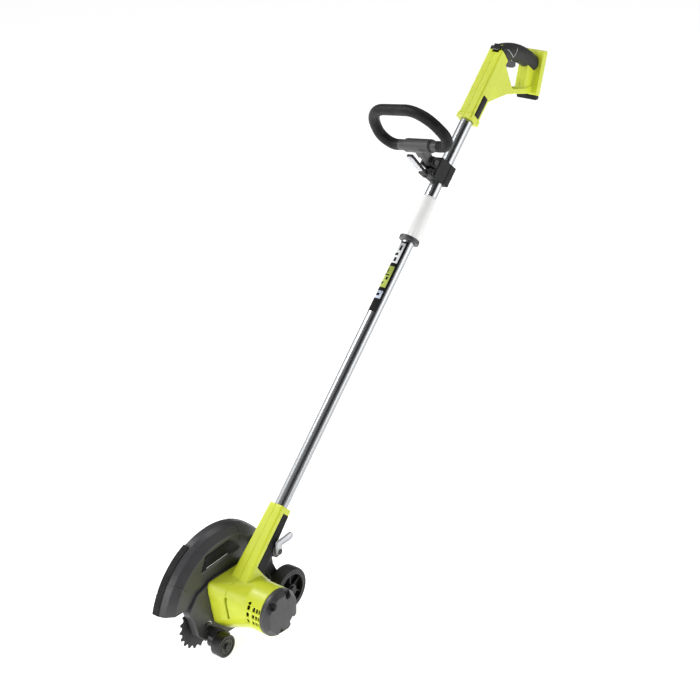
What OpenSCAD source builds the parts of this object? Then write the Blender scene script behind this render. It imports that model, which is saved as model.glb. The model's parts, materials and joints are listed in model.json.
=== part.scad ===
// Battery lawn edger: a toothed blade in a side guard, a motor barrel, two guide wheels, a split
// shaft with a sliding loop handle, and a closed rear handle with a battery socket.
// Axes: -Y is forward, +Z is up, +X is the user's left. The blade is on the -X side.

/* [Shaft] */
// Outer diameter of both shaft tubes
tube_d = 28; // [26:0.5:30]
// Wall of the shaft tubes
tube_wall = 1.5; // [1:0.25:2]
// Angle of the shaft above the ground
lean = 46.7; // [44:0.1:49]
// Station of the joint between the lower and upper tube
split_at = 620; // [612:1:628]
// Station of the middle of the loop handle's clamp
clamp_at = 732; // [722:1:742]
// Swing of the loop handle round the shaft
clamp_swing = -14.7; // [-20:0.1:0]

/* [Head] */
// Diameter of the blade over its teeth
blade_d = 113; // [105:1:115]
// Number of teeth on the blade
blade_teeth = 20; // [16:1:24]
// Outer radius of the guard
guard_r = 168; // [160:1:172]
// Radius of the motor barrel
barrel_r = 50; // [49:0.5:51]
// Diameter of the small front wheel
front_wheel_d = 48.8; // [44:0.2:50]
// Diameter of the rear guide wheel
rear_wheel_d = 97; // [92:0.5:98]

/* [Handles] */
// Diameter of the foam on the loop handle
foam_d = 24; // [22:0.5:26]
// Half of the loop's width at its lower corners, along the tube's middle
loop_half = 112; // [108:1:116]
// Height of the loop, along the tube's middle
loop_rise = 98; // [96:1:106]
// Shift of the loop's upper bar along its width
loop_skew = -10; // [-14:1:0]
// Radius of the soft rear grip
grip_r = 19.5; // [19:0.25:20.5]

/* [Hidden] */
$fn = 64;
gap = 0.2;
run = 0.06;
tube_r = tube_d / 2;
// Side view places are [y, z], from the point where the shaft's axis leaves the motor housing
motor_at = [-148, -199];
blade_at = [-220, -246.5];
guard_at = [-161, -224];
front_wheel_at = [-212.6, -280.7];
rear_wheel_at = [0, -256.6];
depth_at = [-72, -118];
grip_at = [0, 778, 744];

// The head's stations along X
flange_x = -38;
case_x = -58;
plate_x = -47;
rim_x = -85;
barrel_x = 80;
cap_seat_x = 89;
cap_x = 100;
guard_floor = -185;
guard_rear_floor = -235;
motor_shaft_r = 4;
spindle_r = 6;
bearing_w = 6;
motor_pulley_r = 13;
blade_pulley_r = 20;
belt_t = 3;

// The rear handle
grip_arc_at = [706.5, 538];
grip_arc_r = 219;
core_r = 17;
half_w = 18;
dock_half = 27;
grip_front = 694;
trigger_at = [729, 742];

// ---- places and sections ----

// A point of the side view, given by its station along the shaft and its offset in front of it
function on_shaft(l, d) = [l * cos(lean) - d * sin(lean), l * sin(lean) + d * cos(lean)];

// Local +Z runs up the shaft and local -Y points forward of it
module shaft_frame(l = 0) {
    rotate([lean - 90, 0, 0]) translate([0, 0, l]) children();
}

// Local +Z runs along +X, from station x, through the side view's point at
module along_x(x, at) {
    translate([x, at[0], at[1]]) rotate([0, 90, 0]) children();
}

// A side view's outline, as thick as the stretch from x0 to x1
module slab(x0, x1) {
    translate([x0, 0, 0]) rotate([90, 0, 90]) linear_extrude(x1 - x0) children();
}

module disc(x0, x1, at, r) {
    along_x(x0, at) cylinder(h = x1 - x0, r = r);
}

module ring(x0, x1, at, r, bore) {
    along_x(x0, at) difference() {
        cylinder(h = x1 - x0, r = r);
        translate([0, 0, -1]) cylinder(h = x1 - x0 + 2, r = bore);
    }
}

module rounded_square(w, h, r) {
    for (x = [-1, 1], y = [-1, 1]) translate([x * (w / 2 - r), y * (h / 2 - r)]) circle(r, $fn = 32);
    square([w - 2 * r, h], center = true);
    square([w, h - 2 * r], center = true);
}

module everything_left() {
    translate([0, -1000, -1000]) cube([400, 3000, 3000]);
}

module everything_right() {
    translate([-400, -1000, -1000]) cube([400, 3000, 3000]);
}

// A pan-head screw along +X with its head at x
module screw(x, at, len, r = 2, head_r = 3.6) {
    disc(x, x + len, at, r);
    difference() {
        disc(x - 2.4, x, at, head_r);
        along_x(x - 3, at) cylinder(h = 1.8, r = 1.8, $fn = 6);
    }
}

// ---- motor housing ----

module flange_outline() {
    offset(r = 9, $fn = 32) polygon([
        [-209, -154], [-209, -166], [-195, -238], [-184, -250], [-160, -268],
        [-118, -266], [-92, -230], [-90, -180], [-112, -152]]);
}

module boom_slice(l, w) {
    shaft_frame(l) linear_extrude(1) rounded_square(w, w, 4);
}

// The tapered boom round the shaft, grown by g
module boom(g = 0) {
    hull() {
        boom_slice(-53, 35 + 2 * g);
        boom_slice(-250, 45.4 + 2 * g);
    }
}

// Side plate of the boom: forward offsets are negative, and stations run up the shaft
module strip(shrink, x0, x1) {
    shaft_frame() slab(x0, x1) offset(delta = -shrink)
        polygon([[-4.5, -64], [24, -64], [24, -191], [-8.5, -185]]);
}

module housing_body() {
    hull() {
        slab(flange_x, flange_x + 5) flange_outline();
        disc(36, 38, motor_at, barrel_r);
    }
    disc(36, barrel_x, motor_at, barrel_r);
    boom();
}

// Station and width of each column of air vents
vent_columns = [[45.5, 7], [60, 6], [68.3, 5.2], [75.1, 3.6]];

module vent(column, angle, high = 9) {
    along_x(column[0], motor_at) rotate([0, 0, angle]) translate([40, -high / 2, 0])
        cube([20, high, column[1]]);
}

module housing_hollow() {
    disc(flange_x + 2, barrel_x + 1, motor_at, 46);
    disc(flange_x - 1, flange_x + 3, motor_at, 12);
    shaft_frame(-140) cylinder(h = 100, r = tube_r + run);
    shaft_frame(-222) cylinder(h = 90, r = 8);
    for (column = vent_columns) for (angle = [-112, -94.5, -77]) vent(column, angle);
    vent(vent_columns[0], -123, 6);
    // Cooling slot
    translate([-2.3, -230, -222]) cube([4.6, 60, 52]);
    // Seat of the boom's side plate
    strip(0, 16.9, 30);
    for (p = housing_screw_places) disc(flange_x - 1, 12, p, 2.2);
}

housing_screw_places = [on_shaft(-150, 13.6), on_shaft(-150, -13.6)];

module housing_left() {
    color("yellowgreen") difference() {
        intersection() {
            housing_body();
            everything_left();
        }
        housing_hollow();
    }
}

module housing_right() {
    color("yellowgreen") difference() {
        intersection() {
            housing_body();
            everything_right();
        }
        housing_hollow();
        for (p = housing_screw_places) disc(-40, -15, p, 4);
    }
}

module shell_screws() {
    color("dimgray") {
        for (p = housing_screw_places) screw(-15, p, 26);
        for (p = rear_screw_places) screw(-9, p, 14, 1.9, 3.6);
    }
}

cap_screw_angles = [65, 132, 262, 316];

function round_motor(angle, r) = motor_at + r * [cos(angle), sin(angle)];

module motor_end_cap() {
    color("dimgray") difference() {
        hull() {
            disc(barrel_x + gap, cap_seat_x, motor_at, barrel_r);
            along_x(cap_x - 1, motor_at) rotate([0, 0, 22.5]) cylinder(h = 1, r = barrel_r - 7, $fn = 8);
        }
        disc(barrel_x - 1, cap_seat_x - 3, motor_at, 46);
        for (a = cap_screw_angles) {
            // Notch that opens at the rim, with the screw's hole in its floor
            along_x(cap_seat_x, motor_at) rotate([0, 0, a + 90]) {
                translate([40, 0, 0]) cylinder(h = 20, r = 8);
                translate([40, -8, 0]) cube([20, 16, 20]);
            }
            disc(barrel_x - 1, cap_x, round_motor(a, 41), 1.8);
        }
    }
}

module end_cap_screws() {
    color("silver") for (a = cap_screw_angles) translate([cap_seat_x, 0, 0]) mirror([1, 0, 0])
        screw(0, round_motor(a, 41), 15, 1.6, 3.2);
}

// ---- motor ----

module motor_front_plate() {
    color("silver") difference() {
        disc(-36, -28, motor_at, 45.9);
        disc(-35, -27, motor_at, 11.02);
        disc(-37, -28, motor_at, 8);
    }
}

module motor_rear_plate() {
    color("silver") difference() {
        disc(72.2, 82, motor_at, 45.9);
        disc(71, 79, motor_at, 11.02);
        disc(71, 90, motor_at, 8);
        for (a = cap_screw_angles) disc(73.5, 90, round_motor(a, 41), 1.7);
    }
}

module motor_can() {
    color("silver") difference() {
        disc(-6, 62, motor_at, 36);
        disc(-4, 63, motor_at, 34);
        disc(-7, 0, motor_at, 14);
    }
}

module motor_magnets() {
    color("gray") intersection() {
        ring(0, 50, motor_at, 34 - run, 29.5);
        union() {
            translate([-5, motor_at[0] - 50, motor_at[1] - 24]) cube([60, 40, 48]);
            translate([-5, motor_at[0] + 10, motor_at[1] - 24]) cube([60, 40, 48]);
        }
    }
}

module brush_card() {
    color("saddlebrown") difference() {
        union() {
            ring(62.2, 66, motor_at, 36, 20);
            // Brush holders
            slab(62.2, 72) translate(motor_at)
                for (s = [-1, 1]) translate([s * 23, 0]) square([20, 9], center = true);
        }
        disc(60, 74, motor_at, 11.6);
    }
}

module motor_bearings() {
    color("lightsteelblue") {
        ring(-34.9, -28.5, motor_at, 11, motor_shaft_r + run);
        ring(72.6, 78.9, motor_at, 11, motor_shaft_r + run);
    }
}

module motor_shaft() {
    color("silver") difference() {
        disc(-51.8, 83.5, motor_at, motor_shaft_r);
        translate([-53, motor_at[0] - 5, motor_at[1] + 3.4]) cube([8, 10, 2]);
    }
}

module armature_core() {
    color("chocolate") difference() {
        disc(2, 48, motor_at, 28);
        disc(1, 49, motor_at, motor_shaft_r);
        for (k = [0 : 11]) along_x(1, motor_at) rotate([0, 0, k * 30])
            translate([21, -1.5, 0]) cube([10, 3, 48]);
    }
}

module commutator() {
    color("peru") ring(54, 70, motor_at, 11, motor_shaft_r);
}

module cooling_fan() {
    color("dimgray") difference() {
        union() {
            disc(-24, -21, motor_at, 40);
            disc(-24, -10, motor_at, 12);
            for (k = [0 : 8]) along_x(-24, motor_at) rotate([0, 0, k * 40])
                translate([10, -1, 0]) cube([28, 2, 13]);
        }
        disc(-30, 0, motor_at, motor_shaft_r);
    }
}

// ---- drive ----

module pulley(x0, x1, at, r, bore) {
    along_x(x0, at) difference() {
        union() {
            cylinder(h = x1 - x0, r = r);
            cylinder(h = 0.7, r = r + 2);
            translate([0, 0, x1 - x0 - 0.7]) cylinder(h = 0.7, r = r + 2);
        }
        translate([0, 0, -1]) cylinder(h = x1 - x0 + 2, r = bore);
    }
}

module motor_pulley() {
    color("silver") difference() {
        pulley(-51.8, -44.3, motor_at, motor_pulley_r, motor_shaft_r);
        for (k = [0 : 3]) disc(-52, -44, motor_at + 8.4 * [cos(k * 90), sin(k * 90)], 1.6);
    }
}

module blade_pulley() {
    color("silver") difference() {
        pulley(-51.8, -44.3, blade_at, blade_pulley_r, spindle_r);
        for (k = [0 : 4]) disc(-52, -44, blade_at + 13 * [cos(k * 72), sin(k * 72)], 3.4);
    }
}

// The outline round both pulleys, grown by g
module belt_outline(g) {
    hull() {
        translate(motor_at) circle(motor_pulley_r + g, $fn = 96);
        translate(blade_at) circle(blade_pulley_r + g, $fn = 96);
    }
}

module drive_belt() {
    color("black") slab(-50.8, -45.3) difference() {
        belt_outline(0.15 + belt_t - 1.2);
        belt_outline(0.15);
    }
}

module case_outline() {
    offset(r = 14, $fn = 48) polygon([
        [-256, -196], [-246, -214], [-236, -250], [-222, -262], [-196, -277],
        [-140, -277], [-104, -258], [-94, -216], [-100, -164], [-190, -158], [-236, -172]]);
}

module drive_case() {
    color("dimgray") difference() {
        slab(case_x, flange_x - gap) case_outline();
        slab(case_x + bearing_w, flange_x - bearing_w) offset(r = 6) belt_outline(0);
        disc(case_x - 1, 0, blade_at, 9);
        disc(case_x - 1, case_x + bearing_w + 1, blade_at, 12.02);
        disc(flange_x - bearing_w - 1, flange_x - 0.6, blade_at, 12.02);
        disc(flange_x - bearing_w - 1, flange_x + 1, motor_at, 9);
        for (p = case_screw_places) disc(case_x - 1, flange_x + 1, p, 2.2);
        for (p = case_screw_places) disc(case_x - 1, case_x + 3, p, 4.2);
    }
}

case_screw_places = [[-196, -168], [-112, -172], [-116, -256], [-172, -268]];

module case_screws() {
    color("silver") for (p = case_screw_places) screw(case_x + 2.8, p, 16);
}

module spindle_bearings() {
    color("lightsteelblue") {
        ring(case_x, case_x + bearing_w - 0.2, blade_at, 12, spindle_r + run);
        ring(flange_x - bearing_w, flange_x - 0.8, blade_at, 12, spindle_r + run);
    }
}

module blade_spindle() {
    color("silver") disc(-74, flange_x - 1, blade_at, spindle_r);
}

module blade_tooth(angle) {
    r = blade_d / 2;
    step = 360 / blade_teeth;
    polygon([
        (r - 8) * [cos(angle - step * 0.42), sin(angle - step * 0.42)],
        (r - 0.4) * [cos(angle - step * 0.12), sin(angle - step * 0.12)],
        r * [cos(angle), sin(angle)],
        (r - 0.4) * [cos(angle + step * 0.12), sin(angle + step * 0.12)],
        (r - 8) * [cos(angle + step * 0.42), sin(angle + step * 0.42)],
        [0, 0]]);
}

module blade() {
    color("darkslategray") difference() {
        slab(-64.5, -62) translate(blade_at) {
            circle(blade_d / 2 - 6.5, $fn = 96);
            for (k = [0 : blade_teeth - 1]) blade_tooth(k * 360 / blade_teeth);
        }
        disc(-66, -60, blade_at, spindle_r + run);
    }
}

module blade_flanges() {
    color("silver") {
        ring(-62, -59, blade_at, 17, spindle_r);
        ring(-67.5, -64.5, blade_at, 17, spindle_r);
    }
}

module blade_nut() {
    color("silver") difference() {
        along_x(-73, blade_at) cylinder(h = 5.5, r = 10.5, $fn = 6);
        disc(-75, -67, blade_at, spindle_r);
    }
}

// ---- guard ----

// The guard's wall, from its side plate out to its far rim: radius, station
module guard_section(inset) {
    polygon([
        [0, plate_x + 3 - inset], [149 - inset * 0.5, plate_x + 3 - inset], [163 - inset, -58 - inset * 0.3],
        [guard_r - 0.6 - inset, -70], [guard_r - inset, rim_x - inset * 2], [0, rim_x - inset * 2]]);
}

module guard_solid(inset) {
    along_x(0, guard_at) rotate_extrude($fn = 160) guard_section(inset);
}

module guard_shell() {
    color("dimgray") difference() {
        guard_solid(0);
        guard_solid(3);
        translate([-200, -600, guard_floor - 600]) cube([300, 500, 600]);
        translate([-200, -110, guard_rear_floor - 600]) cube([300, 600, 600]);
        slab(-200, 0) offset(delta = 0.3) case_outline();
        guard_plate_solid(0, plate_x + 3 - 1.2, plate_x + 4);
    }
}

// Strip along the rim's front, from 14 to 66 degrees above forward
module guard_flap() {
    color("black") along_x(rim_x - 3, guard_at) rotate([0, 0, 204])
        rotate_extrude(angle = 52, $fn = 160) translate([guard_r - 9, 0]) square([11, 2.8]);
}

module guard_plate_solid(shrink, x0, x1) {
    slab(x0, x1) offset(r = 3 - shrink) polygon([[-211, -91], [-143, -84], [-119, -111], [-225, -121]]);
}

module guard_plate() {
    color("black") guard_plate_solid(0.2, plate_x + 3 - 1.1, plate_x + 3);
}

// ---- front wheel ----

module front_bracket() {
    color("black") difference() {
        slab(flange_x, -19) {
            polygon([
                [-222, -290], [-200, -295], [-180, -286], [-176, -277], [-197, -262], [-210, -250],
                [-226, -264]]);
            translate(front_wheel_at) circle(14);
        }
        disc(-40, 0, front_wheel_at, 4);
    }
}

module front_axle() {
    color("silver") {
        disc(-37, 8, front_wheel_at, 4);
        disc(5.6, 8, front_wheel_at, 7);
    }
}

module front_wheel() {
    color("black") difference() {
        disc(-18, 5, front_wheel_at, front_wheel_d / 2);
        disc(-19, 6, front_wheel_at, 4 + run);
        ring(2, 6, front_wheel_at, 19, 14);
        ring(-19, -15, front_wheel_at, 19, 9);
    }
}

// ---- depth wheel ----

module depth_bracket() {
    color("dimgray") difference() {
        union() {
            disc(-13, 21, depth_at, 11);
            slab(-13, 13) polygon([
                on_shaft(-166, -19), on_shaft(-106, -16), on_shaft(-118, -30), on_shaft(-150, -34)]);
            // Notched rim that the lever's tooth drops into
            slab(17, 21) translate(depth_at) difference() {
                circle(15);
                for (a = [196 : 12 : 244]) translate(15.6 * [cos(a), sin(a)]) circle(1.8);
            }
        }
        disc(-20, 22, depth_at, 5 + run);
        boom(gap);
    }
}

module depth_shaft() {
    color("silver") disc(-43, 28.4, depth_at, 5);
}

lever_tip = [34, 21];
lever_crank = [-1, 18];

module depth_lever() {
    color("gainsboro") difference() {
        slab(21.6, 27.6) translate(depth_at) {
            hull() {
                circle(7.2);
                translate(lever_crank) circle(6.4);
            }
            hull() {
                translate(lever_crank) circle(6.4);
                translate(lever_tip) circle(8);
            }
        }
        disc(0, 30, depth_at, 5);
        // Hollow of the finger tab
        slab(25.6, 29) translate(depth_at) hull() {
            translate(lever_crank + 0.2 * (lever_tip - lever_crank)) circle(4);
            translate(lever_tip) circle(5.6);
        }
    }
}

module depth_arm() {
    color("black") difference() {
        slab(-43, -38) {
            translate(depth_at) circle(12);
            translate(rear_wheel_at) circle(12);
            polygon([
                depth_at + [-9, -6], rear_wheel_at + [-10, -5], rear_wheel_at + [10, 5], depth_at + [9, 6]]);
        }
        disc(-50, -30, depth_at, 5);
        disc(-50, -30, rear_wheel_at, 5);
    }
}

module rear_axle() {
    color("silver") {
        disc(-45, 0, rear_wheel_at, 5);
        disc(-3.6, 0, rear_wheel_at, 9);
        disc(-48, -43, rear_wheel_at, 8);
    }
}

module rear_wheel_hub() {
    color("black") difference() {
        union() {
            ring(-36, -5, rear_wheel_at, 40, 35);
            ring(-36, -4.4, rear_wheel_at, 13, 5 + run);
            ring(-23, -20, rear_wheel_at, 36, 12);
            for (k = [0 : 5]) along_x(-32, rear_wheel_at) rotate([0, 0, k * 60])
                translate([11, -1.5, 0]) cube([25, 3, 23]);
        }
        ring(-30, -8, rear_wheel_at, 45, 38.5);
    }
}

module rear_wheel_tyre() {
    color("black") difference() {
        union() {
            ring(-36, -5, rear_wheel_at, rear_wheel_d / 2 - 3, 40);
            ring(-30, -8, rear_wheel_at, 42, 38.5);
            ring(-32, -9, rear_wheel_at, rear_wheel_d / 2, 42);
        }
        for (k = [0 : 35]) along_x(-33, rear_wheel_at) rotate([0, 0, k * 10])
            translate([rear_wheel_d / 2 - 1.5, -1.2, 0]) cube([4, 2.4, 26]);
    }
}

// ---- shaft ----

module boom_plate() {
    color("black") intersection() {
        strip(gap, 17.1, 30);
        boom(0.1);
    }
}

module tube(l0, l1) {
    shaft_frame(l0) difference() {
        cylinder(h = l1 - l0, r = tube_r);
        translate([0, 0, -1]) cylinder(h = l1 - l0 + 2, r = tube_r - tube_wall);
    }
}

module lower_tube() {
    color("silver") tube(-139.5, split_at);
}

module upper_tube() {
    color("silver") tube(split_at + 1, 985);
}

module coupler_ring() {
    color("dimgray") shaft_frame(566) difference() {
        cylinder(h = 7.8, r = 22.5);
        translate([0, 0, -1]) cylinder(h = 12, r = tube_r);
    }
}

module coupler_sleeve() {
    color("white") shaft_frame(574) difference() {
        rotate_extrude($fn = 128) polygon([
            [tube_r + run, 0], [22, 0], [21.5, 22], [18.5, 62], [17, 98], [15.6, 100], [tube_r + run, 100]]);
        for (k = [0 : 9]) rotate([0, 0, k * 36]) translate([22.6, 0, -1]) cylinder(h = 60, r = 1.6);
    }
}

module coupler_spigot() {
    color("silver") shaft_frame(560) difference() {
        cylinder(h = 120, r = tube_r - tube_wall);
        translate([0, 0, -1]) cylinder(h = 122, r = 9.5);
    }
}

// ---- loop handle ----

// Frame of the clamp: +Z up the shaft, -Y the way the handle points
module clamp_frame() {
    shaft_frame(clamp_at) rotate([0, 0, clamp_swing]) children();
}

pivot_y = -42;
pivot_z = 4;
lever_at = [-38, -19];
clamp_half = 19;
clamp_screws = [[-16.4, -16], [16.4, -16], [-16.4, 18], [16.4, 18]];
stem_tilt = 73.75;
sleeve_reach = 89;

module clamp_front() {
    color("dimgray") clamp_frame() difference() {
        union() {
            translate([-clamp_half, -31, -22]) cube([2 * clamp_half, 30.5, 46]);
            for (s = [-1, 1]) translate([s * 13 - 4, 0, 0]) {
                translate([0, pivot_y - 10, pivot_z - 10]) cube([8, 30, 20]);
                translate([0, lever_at[0] - 7, lever_at[1] - 6]) cube([8, 20, 14]);
            }
        }
        translate([0, 0, -30]) cylinder(h = 60, r = tube_r + run);
        translate([-30, pivot_y, pivot_z]) rotate([0, 90, 0]) cylinder(h = 60, r = 3);
        translate([-30, lever_at[0], lever_at[1]]) rotate([0, 90, 0]) cylinder(h = 60, r = 2.5);
        translate([-9, -60, -40]) cube([18, 28.8, 80]);
        for (p = clamp_screws) translate([p[0], 1, p[1]]) rotate([90, 0, 0]) cylinder(h = 50, r = 1.6);
    }
}

module clamp_rear() {
    color("dimgray") clamp_frame() difference() {
        translate([-clamp_half, 0.5, -22]) cube([2 * clamp_half, 15.5, 46]);
        translate([0, 0, -30]) cylinder(h = 60, r = tube_r + run);
        for (p = clamp_screws) translate([p[0], 17, p[1]]) rotate([90, 0, 0]) cylinder(h = 30, r = 1.6);
        for (p = clamp_screws) translate([p[0], 17, p[1]]) rotate([90, 0, 0]) cylinder(h = 3, r = 2.4);
    }
}

module clamp_bolts() {
    color("silver") clamp_frame() {
        for (p = clamp_screws) translate([p[0], 15, p[1]]) rotate([90, 0, 0]) cylinder(h = 37, r = 1.5);
        for (p = clamp_screws) translate([p[0], 15.9, p[1]]) rotate([90, 0, 0]) cylinder(h = 1.8, r = 2.3);
        translate([-20, pivot_y, pivot_z]) rotate([0, 90, 0]) cylinder(h = 40, r = 2.95);
        for (x = [-20.4, 17.2]) translate([x, pivot_y, pivot_z]) rotate([0, 90, 0]) cylinder(h = 3.2, r = 6);
        translate([-18, lever_at[0], lever_at[1]]) rotate([0, 90, 0]) cylinder(h = 36, r = 2.45);
    }
}

module clamp_lever() {
    color("black") clamp_frame() translate([0, lever_at[0], lever_at[1]]) difference() {
        union() {
            translate([-8.5, 0, 0]) rotate([0, 90, 0]) cylinder(h = 17, r = 6);
            rotate([-9, 0, 0]) translate([-8.5, -62, -8]) cube([17, 62, 6]);
        }
        translate([-20, 0, 0]) rotate([0, 90, 0]) cylinder(h = 40, r = 2.45 + run);
    }
}

// Loop frame: +X along the sleeve, +Y up the loop's plane, from the middle of the sleeve
module loop_frame() {
    clamp_frame() translate([0, pivot_y, pivot_z]) rotate([90 + stem_tilt, 0, 0])
        translate([0, sleeve_reach - 42, 0]) children();
}

// Cut that a bend takes off each side of its corner, between unit directions u and v
function corner_cut(u, v, bend) = bend * tan(acos(u * v) / 2);

// Points round the corner p, turning left from direction u to direction v
function corner_points(p, u, v, bend) =
    let (start = p - corner_cut(u, v, bend) * u,
         left = [-u[1], u[0]],
         middle = start + bend * left,
         first = atan2(-left[1], -left[0]),
         turn = acos(u * v),
         steps = 8)
    [for (k = [0 : steps]) middle + bend * [cos(first + turn * k / steps), sin(first + turn * k / steps)]];

loop_top = 82;
bend_low = 32;
bend_high = 66;
corner_a = [loop_half, 0];
corner_b = [loop_top, loop_rise];
side_dir = (corner_b - corner_a) / norm(corner_b - corner_a);

// Half of the loop, from x = from_x on the lower bar up to the middle of the upper bar
function half_loop(from_x) = concat(
    [[from_x, 0]],
    corner_points(corner_a, [1, 0], side_dir, bend_low),
    corner_points(corner_b, side_dir, [-1, 0], bend_high),
    [[0, loop_rise]]);

// The whole loop: the half, then its mirror image back down to x = -from_x, leaning to one side
function whole_loop(from_x) =
    let (h = half_loop(from_x),
         other = [for (k = [len(h) - 2 : -1 : 0]) [-h[k][0], h[k][1]]])
    [for (p = concat(h, other)) [p[0] + loop_skew * p[1] / loop_rise, p[1]]];

sides = 16;

// A ring of points round each point of a path that lies in the plane
function rings(path, r) =
    let (last = len(path) - 1)
    [for (k = [0 : last])
        let (a = path[max(k - 1, 0)], b = path[min(k + 1, last)], t = (b - a) / norm(b - a))
        for (j = [0 : sides - 1])
            let (c = r * cos(j * 360 / sides), s = r * sin(j * 360 / sides))
            [path[k][0] - t[1] * c, path[k][1] + t[0] * c, s]];

// The walls between the rings, from the ring numbered first
function ring_walls(count, first) =
    [for (k = [0 : count - 2], j = [0 : sides - 1])
        let (i = (j + 1) % sides, near = (first + k) * sides, far = near + sides)
        [near + j, near + i, far + i, far + j]];

function flipped(faces) = [for (f = faces) [for (k = [len(f) - 1 : -1 : 0]) f[k]]];

// A solid bar of radius r along a path
module swept_bar(path, r) {
    count = len(path);
    ends = [[for (j = [sides - 1 : -1 : 0]) j], [for (j = [0 : sides - 1]) (count - 1) * sides + j]];
    polyhedron(rings(path, r), flipped(concat(ring_walls(count, 0), ends)));
}

// A hollow bar along a path, with an outer radius and a bore
module swept_sleeve(path, r, bore) {
    count = len(path);
    inner = count * sides;
    mouth = [for (j = [0 : sides - 1]) let (i = (j + 1) % sides) [j, inner + j, inner + i, i]];
    tail = (count - 1) * sides;
    end = [for (j = [0 : sides - 1]) let (i = (j + 1) % sides)
        [tail + i, tail + inner + i, tail + inner + j, tail + j]];
    polyhedron(
        concat(rings(path, r), rings(path, bore)),
        flipped(concat(ring_walls(count, 0), flipped(ring_walls(count, count)), mouth, end)));
}

module loop_tube() {
    color("silver") loop_frame() swept_bar(whole_loop(0.05), 7.9);
}

module loop_foam() {
    color("black") loop_frame() swept_sleeve(whole_loop(38.2), foam_d / 2, 8);
}

module handle_stem() {
    color("dimgray") loop_frame() difference() {
        union() {
            translate([-38, 0, 0]) rotate([0, 90, 0]) cylinder(h = 76, r = 15);
            translate([0, -sleeve_reach + 42, 0]) {
                translate([-8.7, 0, 0]) rotate([0, 90, 0]) cylinder(h = 17.4, r = 9);
                translate([-8.7, 0, -9]) cube([17.4, sleeve_reach - 50, 18]);
                translate([-12, 22, -11]) cube([24, sleeve_reach - 70, 22]);
            }
        }
        translate([-40, 0, 0]) rotate([0, 90, 0]) cylinder(h = 80, r = 8);
        translate([-20, -sleeve_reach + 42, 0]) rotate([0, 90, 0]) cylinder(h = 40, r = 3);
    }
}

// ---- rear handle ----

module barrel(w, l0, l1) {
    shaft_frame(l0) linear_extrude(l1 - l0) rounded_square(w, w, 4);
}

// Part of the grip's arc, between two angles measured from +Y
module grip_arc(a0, a1, r) {
    translate([0, grip_arc_at[0], grip_arc_at[1]]) rotate([90, 0, 90]) rotate([0, 0, a0])
        rotate_extrude(angle = a1 - a0) translate([grip_arc_r, 0]) circle(r);
}

module web_outline() {
    polygon([
        [625, 640], [650, 660.5], [681, 662.5], [726, 664], [760, 658.7], [800, 651], [832, 646], [840, 664],
        [803, 664], [768, 669], [750, 673], [745, 678], [708, 750], [692, 750], [618, 650]]);
}

// The dock plate's outline, shrunk by g
module dock_outline(g) {
    offset(r = 4 - g) polygon([[854.4, 736], [863.5, 733.5], [838, 644.5], [830, 647]]);
}

// Column behind the fingers, grown by g
module column(g) {
    slab(-12 - g, 12 + g) offset(delta = g)
        polygon([[793, 653], [795, 659], [810.5, 716], [850, 716], [836, 652]]);
}

// Where the soft grip takes over from the lime barrel, shrunk by g
module grip_zone(g) {
    slab(-30, 30) offset(delta = -g) polygon([
        [grip_front, 800], [grip_front, 772], [grip_front + 12, 757], [grip_front + 43, 720],
        [760, 690], [880, 690], [880, 800]]);
}

module button_pocket() {
    shaft_frame(1030.5) translate([-8.3, -30, 0]) cube([16.6, 20.9, 30]);
}

module rear_body() {
    difference() {
        union() {
            barrel(2 * half_w, 865, 1046);
            barrel(2 * half_w + 4, 865, 877);
            slab(-14, 14) web_outline();
        }
        grip_zone(0);
    }
    grip_arc(51, 90.8, core_r);
    slab(-dock_half, dock_half) dock_outline(0);
    column(0);
}

module rear_hollow() {
    shaft_frame(860) cylinder(h = 125 + run, r = tube_r + run);
    shaft_frame(980) cylinder(h = 52, r = 9);
    grip_arc(49.5, 90, 12);
    // Battery socket
    slab(-21, 21) polygon([[851.5, 725], [880, 719], [880, 652], [832.5, 657]]);
    // Trigger slot
    slab(-6.3, 6.3) polygon([[720, 750], [720, 716], [776, 706], [776, 742]]);
    button_pocket();
    for (p = rear_screw_places) disc(-12, 6, p, 1.95);
    // Seat of the badge
    shaft_frame(878) translate([half_w - 0.9, -10, 0]) cube([5, 20, 51]);
}

module rear_shell_left() {
    color("yellowgreen") difference() {
        intersection() {
            rear_body();
            everything_left();
        }
        rear_hollow();
    }
}

module rear_shell_right() {
    color("yellowgreen") difference() {
        intersection() {
            rear_body();
            everything_right();
        }
        rear_hollow();
        for (p = rear_screw_places) disc(-20, -9, p, 3.9);
    }
    // Pin that the trigger turns on
    color("yellowgreen") disc(-7, 6.2, trigger_at, 2.5);
}

rear_screw_places = [[700, 690], [815, 662]];

// Cable from the motor's brush card, up the tubes and over the trigger, down onto the switch
cable_r = 2.5;
cable_points = [on_shaft(-217, 0), on_shaft(1028, 0), [729, 756], [758, 752], [784, 749], [784, 742]];

module power_cable() {
    color("black") {
        disc(0, 68, cable_points[0], cable_r);
        for (k = [0 : len(cable_points) - 2]) {
            v = cable_points[k + 1] - cable_points[k];
            translate([0, cable_points[k][0], cable_points[k][1]]) {
                sphere(cable_r + 0.3);
                rotate([atan2(v[1], v[0]) - 90, 0, 0]) cylinder(h = norm(v), r = cable_r);
            }
        }
    }
}

module grip_sleeve() {
    color("dimgray") difference() {
        union() {
            intersection() {
                union() {
                    grip_arc(51, 90.3, grip_r);
                    barrel(2 * half_w, 990, 1046);
                }
                grip_zone(gap);
            }
        }
        grip_arc(45, 95, core_r + 0.03);
        slab(-8, 8) polygon([[715, 752], [715, 700], [777, 700], [777, 738]]);
        slab(-dock_half - 1, dock_half + 1) dock_outline(-gap);
        column(gap);
        button_pocket();
    }
}

// Foot under the battery dock, on which the handle rests when the tool lies down
module rear_foot() {
    color("black") slab(-25, 25) difference() {
        offset(r = 2) polygon([[829, 642], [840, 642], [839, 634], [830, 634]]);
        dock_outline(-0.1);
    }
}

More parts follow.
